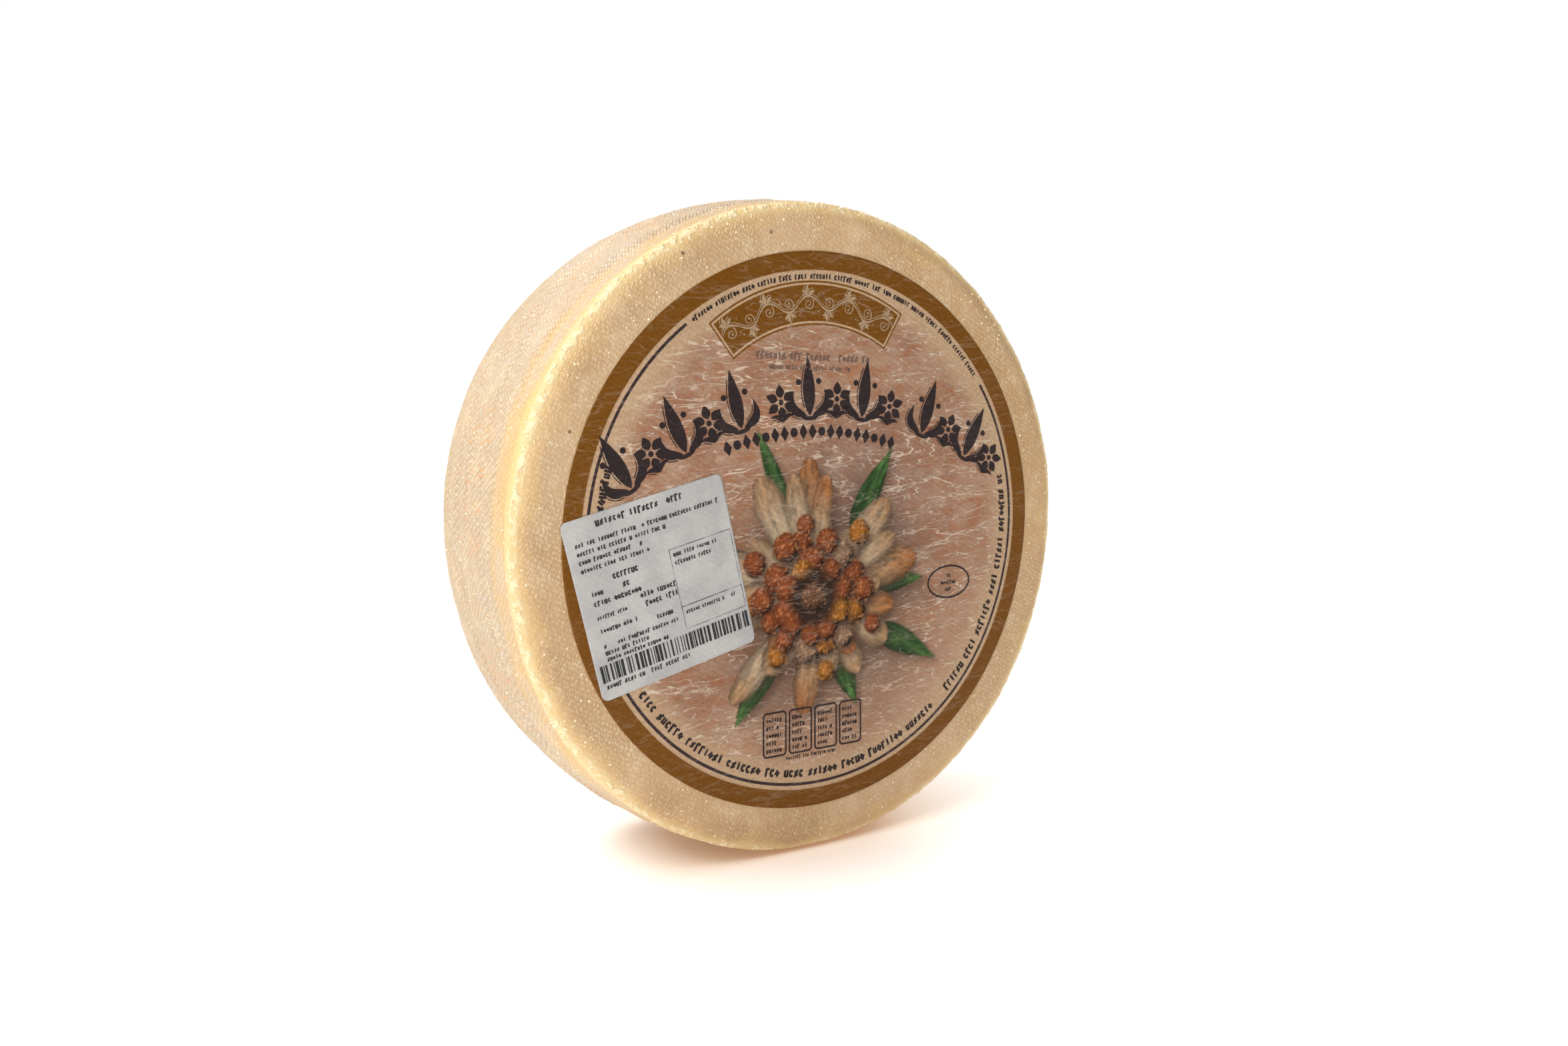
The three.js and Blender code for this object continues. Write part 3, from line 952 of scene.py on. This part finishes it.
class Pen:
    """Draws strokes and leaves, in millimetres, and keeps them as the points and faces of a mesh."""

    def __init__(self):
        self.points, self.faces, self.count = [], [], 0

    def stroke(self, line, widths):
        line = np.asarray(line, float)
        side = square_to(line) * (np.asarray(widths) / 2)[:, None]
        rows = np.stack([line + side, line, line - side], axis=1)
        first = self.count + 3 * np.arange(len(line) - 1)
        for lane in (0, 1):
            a = first + lane
            self.faces += np.column_stack([a, a + 1, a + 4, a + 3]).tolist()
        self.points.append(rows.reshape(-1, 2))
        self.count += rows.shape[0] * 3

    def inline_stroke(self, line, widths, gap=0.55, thin=0.38):
        """A thick stroke with a thin line along its left side."""
        self.stroke(line, widths)
        line, widths = np.asarray(line, float), np.asarray(widths)
        out = square_to(line) * (widths / 2 + gap + thin / 2)[:, None]
        keep = slice(2, -2)
        self.stroke((line + out)[keep], np.full(len(line), thin)[keep])

    def leaf(self, root, heading, length, width, bow=0.16):
        """A leaf with a pointed tip, bowed to one side."""
        t = np.linspace(0, 1, 15)
        along, beside = t * length, bow * length * np.sin(math.pi * t)
        c, s = math.cos(heading), math.sin(heading)
        line = np.column_stack([root[0] + along * c - beside * s, root[1] + along * s + beside * c])
        self.inline_stroke(line, width * np.sin(math.pi * t ** 0.75) + 0.12)

    def berry(self, place, size):
        t = np.linspace(-1, 1, 9)
        line = np.column_stack([place[0] + t * size, np.full(9, place[1])])
        self.stroke(line, 2 * size * np.sqrt(1 - t * t) + 0.02)

    def bent(self, name, centre, radius, lean, front):
        """The mesh of all strokes, bent round an arc of the label and laid on its front."""
        drawn = np.concatenate(self.points)
        turn = drawn[:, 0] / radius + lean
        far = radius + drawn[:, 1]
        across, up = centre[0] + far * np.sin(turn), centre[1] + far * np.cos(turn)
        points = np.column_stack([across / 1000, np.full(len(across), front), up / 1000 + axle_height])
        mesh = bpy.data.meshes.new(name)
        mesh.from_pydata(points.tolist(), [], self.faces)
        mesh.shade_smooth()
        return mesh


def leaf_scroll(half_waves, half_wave, rise, weight):
    """A running scroll: a waving stem, a curl in each hollow of it, and three leaves on each crest."""
    pen = Pen()
    length = half_waves * half_wave
    s = np.linspace(-length / 2, length / 2, half_waves * 14)
    wave = np.sin(math.pi * (s + length / 2) / half_wave)
    ends = smooth(np.abs(s), length / 2, length / 2 - half_wave * 0.7)
    swell = weight * (0.45 + 0.75 * np.abs(wave)) * (0.25 + 0.75 * ends)
    pen.inline_stroke(np.column_stack([s, rise * wave]), swell)
    for n in range(half_waves):
        side = 1 if n % 2 == 0 else -1
        middle = (n + 0.5) * half_wave - length / 2
        t = np.linspace(0, 1, 34)
        turn = side * (math.pi / 2 - t * 2.9 * math.pi)
        out = rise * (1.02 - 0.80 * t ** 0.8)
        curl = np.column_stack([middle + out * np.cos(turn), -side * rise * 0.12 + out * np.sin(turn)])
        pen.stroke(curl[3:], weight * (0.75 - 0.45 * t[3:]))
        pen.berry(curl[-1], weight * 0.62)
        for lean, reach, wide in ((-52, 1.15, 0.62), (0, 1.55, 0.72), (52, 1.15, 0.62)):
            heading = side * math.radians(90 - lean)
            root = (middle + rise * 0.25 * math.sin(math.radians(lean)), side * rise * 1.08)
            bow = 0.14 * (1 if lean >= 0 else -1) * side
            pen.leaf(root, heading, reach * rise, wide * rise * 0.8, bow=bow)
        pen.berry((middle + side * half_wave * 0.5, side * rise * 1.25), weight * 0.42)
    return pen


def pearl_row(count, pitch, size):
    """A row of pearls and lozenges."""
    pen = Pen()
    for n in range(count):
        place = (n - (count - 1) / 2) * pitch
        if n % 3 == 1:
            pen.berry((place, 0), size * 0.60)
        else:
            t = np.linspace(-1, 1, 9)
            line = np.column_stack([place + 0 * t, t * size])
            pen.stroke(line, size * 1.25 * (1 - np.abs(t)) + 0.05)
    return pen


def palmette(pen, place, tall):
    """A tall spear between two bowed leaves, on a foot."""
    pen.leaf((place, 2.0), math.radians(90), tall, tall * 0.23, bow=0.0)
    for side in (-1, 1):
        heading = math.radians(90 - side * 30)
        pen.leaf((place + side * 1.6, 2.0), heading, tall * 0.50, tall * 0.155, bow=-side * 0.30)
        pen.berry((place + side * tall * 0.19, tall * 0.66), tall * 0.05)
    t = np.linspace(-1, 1, 11)
    pen.stroke(np.column_stack([place + t * 4.6, 0.7 + 0.8 * t * t]), 1.5 * (1 - t ** 4) + 0.3)


def rosette(pen, place, tall):
    """A round flower of six petals about a bud, with a small leaf under it."""
    for turn in range(0, 360, 60):
        heading = math.radians(turn + 30)
        root = (place + 0.12 * tall * math.cos(heading), tall * (0.56 + 0.12 * math.sin(heading)))
        t = np.linspace(0, 1, 9)
        out = t * tall * 0.36
        line = np.column_stack([root[0] + out * math.cos(heading), root[1] + out * math.sin(heading)])
        pen.stroke(line, tall * 0.24 * np.sin(math.pi * t ** 0.8) + 0.05)
    pen.berry((place, tall * 0.56), tall * 0.075)
    for side in (-1, 1):
        pen.leaf((place, 0.4), math.radians(90 - side * 68), tall * 0.42, tall * 0.12, bow=side * 0.2)


def border(groups, pitch, gap, tall):
    """Groups of palmettes and rosettes, with a gap between one group and the next."""
    pen = Pen()
    length = sum(len(group) for group in groups) * pitch + (len(groups) - 1) * gap
    place = -length / 2 + pitch / 2
    for group in groups:
        for motif in group:
            if motif == "palmette":
                palmette(pen, place, tall)
            else:
                rosette(pen, place, tall * 0.63)
            place += pitch
        place += gap
    return pen


def box_outline(pen, middle, width, height, corner, weight):
    """The outline of a box with round corners, in short steps, so that it follows the paper."""
    steps = 90
    w, h = width / 2 - corner, height / 2 - corner
    turn = np.linspace(0, math.pi / 2, 6)
    quarter = corner * np.column_stack([np.cos(turn), np.sin(turn)])
    loop = middle + np.concatenate([
        quarter + (w, h),
        quarter[::-1] * (-1, 1) + (-w, h),
        -quarter + (-w, -h),
        quarter[::-1] * (1, -1) + (w, -h),
        quarter[:1] + (w, h),
    ])
    along = np.concatenate([[0], np.cumsum(np.hypot(*np.diff(loop, axis=0).T))])
    even = np.linspace(0, along[-1], steps)
    line = np.column_stack([np.interp(even, along, loop[:, 0]), np.interp(even, along, loop[:, 1])])
    pen.stroke(line, np.full(steps, weight))


def plain_ink(name, colour, lost):
    """One ink, the same colour wherever it hasn't been rubbed off."""
    return printed(name, lambda tree, plane, across, up: colour, lost=lost)


black_ink = plain_ink("black_ink", (0.026, 0.017, 0.018), 0.14)
pale_ink = plain_ink("pale_ink", (0.38, 0.26, 0.16), 0.1)
ink_front = front_y - label_lift - ink_lift
tall_first = ["palmette", "rosette", "palmette", "rosette", "palmette"]
low_first = ["rosette", "palmette", "rosette", "palmette", "rosette"]
title = border([tall_first, low_first, tall_first[:4]], pitch=14.4, gap=7.0, tall=26.0)
pearls = pearl_row(19, pitch=5.0, size=3.4)
vine = leaf_scroll(half_waves=9, half_wave=10.8, rise=3.1, weight=0.8)

oval_middle, oval_half_width, oval_half_height = (76.5, -28.5), 13.0, 7.8
first_box, box_pitch, box_width, box_height = (-24.9, -89.8), 14.0, 12.0, 20.2
outlines = Pen()
turn = np.linspace(0, 2 * math.pi, 73)
oval = np.column_stack([oval_half_width * np.cos(turn), oval_half_height * np.sin(turn)])
outlines.stroke(oval_middle + oval, np.full(73, 0.85))
for number in range(4):
    box_middle = (first_box[0] + box_pitch * number, first_box[1])
    box_outline(outlines, box_middle, box_width, box_height, corner=1.6, weight=0.8)

# an arc this wide is straight
far_off = 100000.0
# each drawing with the centre and radius of the arc that it is bent round, its lean and its ink
scrolls = [
    ("title_border", title, (1.0, -122.0), 174.0, 0.0, black_ink),
    ("subtitle_pearls", pearls, (-4.8, -111.8), 158.5, 0.0, black_ink),
    ("banner_scroll", vine, banner_centre, 79.7, banner_lean, pale_ink),
    ("box_outlines", outlines, (0, -far_off), far_off, 0.0, black_ink),
]
for name, pen, centre, radius, lean, ink in scrolls:
    scroll = placed(name, pen.bent(name, centre, radius, lean, ink_front))
    grown(scroll, paper_tree, paper_sizes(ink))
    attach(scroll, "root")


# ------------------------------------------------------------------------------------------
# The rows of small print. One row follows another round the label's edge, others fill the boxes
# and the oval, and two faint ones lie under the banner. They are plain marks, each a few slips
# of ink, in groups that spell nothing.
# ------------------------------------------------------------------------------------------
class Typesetter:
    """Sets out rows of marks: the place, turn, height and kind of each."""

    def __init__(self, seed):
        self.chance = np.random.default_rng(seed)
        self.set = []

    def row(self, length, tall, bend):
        """Marks along a row; bend gives the place and the turn at a distance along it."""
        along = tall * 0.3
        while along < length - tall * 0.3:
            for _ in range(int(self.chance.integers(3, 9))):
                if along > length - tall * 0.3:
                    break
                place, turn = bend(along)
                height = tall * self.chance.uniform(0.78, 1.0)
                self.set.append((*place, turn, height, int(self.chance.integers(0, 6))))
                along += tall * 0.62
            along += tall * 0.55

    def level(self, left, right, foot, tall, lean=0.0, origin=(0.0, 0.0)):
        """A straight row between two distances, on a plane turned by lean about its origin."""
        c, s = math.cos(lean), math.sin(lean)
        middle = foot + tall / 2

        def bend(along):
            a = left + along
            return (origin[0] + a * c - middle * s, origin[1] + a * s + middle * c), -lean
        self.row(right - left, tall, bend)

    def arc(self, start, end, radius, tall, inward=False):
        """A row on a circle round the label's middle, from one bearing to another, in degrees."""
        way = 1 if end > start else -1

        def bend(along):
            turn = math.radians(start) + way * along / radius
            return (radius * math.sin(turn), radius * math.cos(turn)), turn + (math.pi if inward else 0)
        self.row(math.radians(abs(end - start)) * radius, tall, bend)

    def sheet(self, name, front):
        """The marks' places as loose points, each with its turn, height and kind."""
        rows = np.array(self.set)
        across, up = rows[:, 0] / 1000, rows[:, 1] / 1000 + axle_height
        points = np.column_stack([across, np.full(len(rows), front), up])
        mesh = bpy.data.meshes.new(name)
        mesh.from_pydata(points.tolist(), [], [])
        for label, kind, values in (
            ("turn", "FLOAT", rows[:, 2].astype(np.float32)),
            ("tall", "FLOAT", (rows[:, 3] / 1000).astype(np.float32)),
            ("pick", "INT", rows[:, 4].astype(np.int32)),
        ):
            mesh.attributes.new(label, kind, "POINT").data.foreach_set("value", values)
        return mesh


def slip(tree, across, up, width, height, lean=0.0):
    """One thin slip of ink in a mark one unit tall."""
    plate = node_of(tree, "GeometryNodeMeshGrid", None, Size_X=width, Size_Y=height,
                    Vertices_X=2, Vertices_Y=2)
    stood = node_of(tree, "GeometryNodeTransform", None, Geometry=plate.outputs[0])
    stood.inputs["Translation"].default_value = (across, 0, up)
    stood.inputs["Rotation"].default_value = (math.pi / 2, lean, 0)
    return stood.outputs[0]


def mark(tree, slips):
    """One kind of mark, from the place across and up, width, height and lean of each of its slips."""
    joined = node_of(tree, "GeometryNodeJoinGeometry")
    for values in slips:
        tree.links.new(slip(tree, *values), joined.inputs[0])
    return joined.outputs[0]


def attribute(tree, name, kind="FLOAT"):
    return node_of(tree, "GeometryNodeInputNamedAttribute", {"data_type": kind}, Name=name).outputs[0]


thick = 0.27
kinds_of_mark = [
    [(-0.12, 0, thick, 1.0), (0.12, 0.42, 0.28, thick)],
    [(-0.17, 0, thick, 0.8), (0.17, 0, thick, 0.8), (0, -0.32, 0.2, thick)],
    [(0, 0, thick, 0.9, 0.45), (0, -0.02, thick, 0.6, -0.6)],
    [(0, 0.28, 0.40, thick), (0, -0.28, 0.40, thick), (-0.16, 0, thick, 0.45)],
    [(0, 0, thick, 0.72), (0, 0.46, thick, 0.14)],
    [(-0.1, 0.1, thick, 0.62, 0.5), (0.14, -0.1, thick, 0.62, 0.5)],
]
print_sizes = {**paper_sizes(black_ink), "Rubbed Off": 0.36}
print_tree, size, print_out = new_tree("rows_of_marks", print_sizes)
kinds = node_of(print_tree, "GeometryNodeGeometryToInstance")
for slips in kinds_of_mark:
    print_tree.links.new(mark(print_tree, slips), kinds.inputs[0])
place = node_of(print_tree, "GeometryNodeInputPosition").outputs[0]
rubbed = noise(print_tree, place, 95.0, detail=2.0)
kept = rubbed.math("GREATER_THAN", Field(print_tree, size["Rubbed Off"]))
facing = node_of(print_tree, "ShaderNodeCombineXYZ", None, Y=attribute(print_tree, "turn"))
set_marks = node_of(print_tree, "GeometryNodeInstanceOnPoints", None, Points=size["Geometry"],
                    Selection=kept, Instance=kinds.outputs[0], Pick_Instance=True,
                    Instance_Index=attribute(print_tree, "pick", "INT"), Rotation=facing.outputs[0],
                    Scale=attribute(print_tree, "tall"))
real_marks = node_of(print_tree, "GeometryNodeRealizeInstances", None, Geometry=set_marks.outputs[0])
laid_marks = on_the_paper(print_tree, size, real_marks.outputs[0])
finish_tree(print_tree, laid_marks, size["Finish"], print_out)

dark_line_radius, edge_row_radius, edge_row_tall = 115.3, 110.6, 4.4
box_row_lengths = (9.6, 7.0, 8.8, 6.4, 9.0)
setter = Typesetter(3)
# round the edge: in the gap of the dark line, from the lower left round to the right, and on the left
setter.arc(-35.0, 53.0, dark_line_radius, 2.7)
setter.arc(236.3, 141.6, edge_row_radius, edge_row_tall, inward=True)
setter.arc(137.7, 77.5, edge_row_radius, edge_row_tall, inward=True)
setter.arc(-83.0, -70.7, edge_row_radius, edge_row_tall)
# in the boxes, in one line under them, and in the oval
for column in range(4):
    for row in range(5):
        left = -29.6 + box_pitch * column
        setter.level(left, left + box_row_lengths[(row + column) % 5], -84.4 - 3.5 * row, 2.3)
setter.level(-19, 9, -103.0, 1.9)
for row, (left, right) in enumerate(((75.0, 78.6), (71.5, 82.0), (74.2, 79.4))):
    setter.level(left, right, -26.6 - 3.4 * row, 2.2)
small_print = placed("small_print", setter.sheet("small_print", ink_front))
grown(small_print, print_tree, {**print_sizes, "Rubbed Off": 0.12})
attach(small_print, "root")

grey_ink = plain_ink("grey_ink", (0.15, 0.095, 0.075), 0.38)
setter = Typesetter(4)
setter.level(-37, 25, 77.6, 3.6, lean=-0.03)
setter.level(-30, 14, 73.4, 2.4, lean=-0.03)
faint_print = placed("faint_print", setter.sheet("faint_print", ink_front))
grown(faint_print, print_tree, {**print_sizes, "Rubbed Off": 0.30, "Finish": grey_ink})
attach(faint_print, "root")


# ------------------------------------------------------------------------------------------
# The weight label. Self-adhesive paper from the dairy's scales, stuck on askew over the edge of
# the round label. Its black heat print, rows of marks and a row of bars, has half worn away. Its
# own plane is in millimetres too, square to its own edges.
# ------------------------------------------------------------------------------------------
sticker_width, sticker_height, sticker_corner = 76.5, 77.5, 3.0
sticker_turn = math.radians(13.5)
sticker_lift = 0.00034
sticker_low, sticker_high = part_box("weight_label")
sticker_middle = ((sticker_low.x + sticker_high.x) / 2, (sticker_low.z + sticker_high.z) / 2)
middle_mm = (sticker_middle[0] * 1000, (sticker_middle[1] - axle_height) * 1000)
sticker_front = front_y - label_lift - sticker_lift


def rounded_net(width, height, corner, cells):
    """An even net over a rectangle, with its corner squares drawn in to quarter circles."""
    line = np.linspace(-1, 1, cells + 1)
    a, b = np.meshgrid(line * width / 2, line * height / 2, indexing="ij")
    in_a = (np.abs(a) - (width / 2 - corner)) / corner
    in_b = (np.abs(b) - (height / 2 - corner)) / corner
    in_corner = (in_a > 0) & (in_b > 0)
    drawn_a = np.sign(a) * (width / 2 - corner + corner * in_a * np.sqrt(1 - np.clip(in_b, 0, 1) ** 2 / 2))
    drawn_b = np.sign(b) * (height / 2 - corner + corner * in_b * np.sqrt(1 - np.clip(in_a, 0, 1) ** 2 / 2))
    return np.where(in_corner, drawn_a, a), np.where(in_corner, drawn_b, b)


def sticker_print(tree, plane, across, up):
    """The weight label's grey paper, with the ruled frame of its table."""
    from_middle = vector_math(tree, "SUBTRACT", plane, (middle_mm[0], 0, middle_mm[1]))
    level = node_of(tree, "ShaderNodeVectorRotate", {"rotation_type": "Y_AXIS"}, Vector=from_middle,
                    Angle=sticker_turn)
    beside, _, above = parts_of(tree, level.outputs[0])
    across = beside + sticker_width / 2
    down = sticker_height / 2 - above
    cloudy = noise(tree, plane, 0.06, detail=3.0)
    colour = blend(tree, cloudy.ramp(0.35, 0.65), (0.39, 0.39, 0.39), (0.47, 0.46, 0.45))
    table_left, table_right = 44.6, 75.2
    frame_line = box_field(across, down, table_left, table_right, 24.9, 60.5).band(-0.2, 0.2, 0.08)
    ruled = frame_line.most(within(box_field(across, down, table_left, table_right, 50.3, 50.8)))
    kept = noise(tree, plane, 0.14, detail=4.0, roughness=0.65).ramp(0.36, 0.58)
    stained = noise(tree, plane, 0.045, detail=4.0, roughness=0.6).ramp(0.48, 0.66)
    colour = blend(tree, stained * 0.45, colour, (0.36, 0.35, 0.345))
    return blend(tree, ruled * (0.3 + kept * 0.6), colour, (0.05, 0.05, 0.055))


a, b = rounded_net(sticker_width / 1000, sticker_height / 1000, sticker_corner / 1000, 110)
c, s = math.cos(sticker_turn), math.sin(sticker_turn)
sticker_mesh = net_sheet("weight_label_paper", sticker_middle[0] + a * c - b * s,
                         sticker_middle[1] + a * s + b * c, sticker_front)
weight_label = placed("weight_label_paper", sticker_mesh)
heat_paper = printed("weight_print", sticker_print, lost=0.3, paper=(0.64, 0.63, 0.62), threads_show=0.2)
grown(weight_label, paper_tree, paper_sizes(heat_paper))
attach(weight_label, "root")
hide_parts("weight_label")

heat_ink = plain_ink("heat_ink", (0.030, 0.030, 0.034), 0.2)
# each row's left and right ends, its top and its height
sticker_rows = [
    (15, 60, 2.6, 3.2), (4, 73, 9.8, 2.2), (4, 46, 13.4, 2.2), (4, 34, 17.0, 2.2), (4, 37, 20.6, 2.2),
    (17, 30, 26.2, 2.8), (6, 13, 31.2, 2.2), (17, 25, 30.8, 2.8), (6, 29, 35.2, 2.6),
    (27, 46, 38.2, 2.6), (6, 22, 41.6, 1.9), (27, 46, 42.2, 2.6), (6, 24, 47.2, 2.2),
    (32, 42, 49.6, 2.2), (6, 43, 53.8, 2.1), (6, 28, 56.8, 2.1), (6, 36, 59.6, 2.1),
    (46, 68, 26.6, 2.1), (46, 66, 30.2, 2.1), (46, 72, 52.4, 1.9), (3, 45, 70.8, 2.3),
]
setter = Typesetter(5)
for left, right, top, tall in sticker_rows:
    foot = sticker_height / 2 - top - tall
    setter.level(left - sticker_width / 2, right - sticker_width / 2, foot, tall,
                 lean=sticker_turn, origin=middle_mm)
heat_print = placed("weight_label_print", setter.sheet("weight_label_print", sticker_front - ink_lift))
grown(heat_print, print_tree, {**print_sizes, "Rubbed Off": 0.38, "Finish": heat_ink})
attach(heat_print, "root")

bars = Pen()
chance = np.random.default_rng(8)
thin_bar, bar_height = 0.42, 7.2
place = 2.0 - sticker_width / 2
bars_end = 74.0 - sticker_width / 2
bar_top = sticker_height / 2 - 62.4
while place < bars_end:
    bar = thin_bar * int(chance.integers(1, 4))
    long = bar_height + chance.uniform(0, 0.25)
    bars.stroke([(place + bar / 2, bar_top - long * n / 5) for n in range(6)], np.full(6, bar))
    place += bar + thin_bar * int(chance.integers(1, 4))
foot = (middle_mm[0] + far_off * math.sin(sticker_turn), middle_mm[1] - far_off * math.cos(sticker_turn))
bar_mesh = bars.bent("weight_label_bars", foot, far_off, -sticker_turn, sticker_front - ink_lift)
weight_bars = placed("weight_label_bars", bar_mesh)
grown(weight_bars, paper_tree, paper_sizes(heat_ink))
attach(weight_bars, "root")
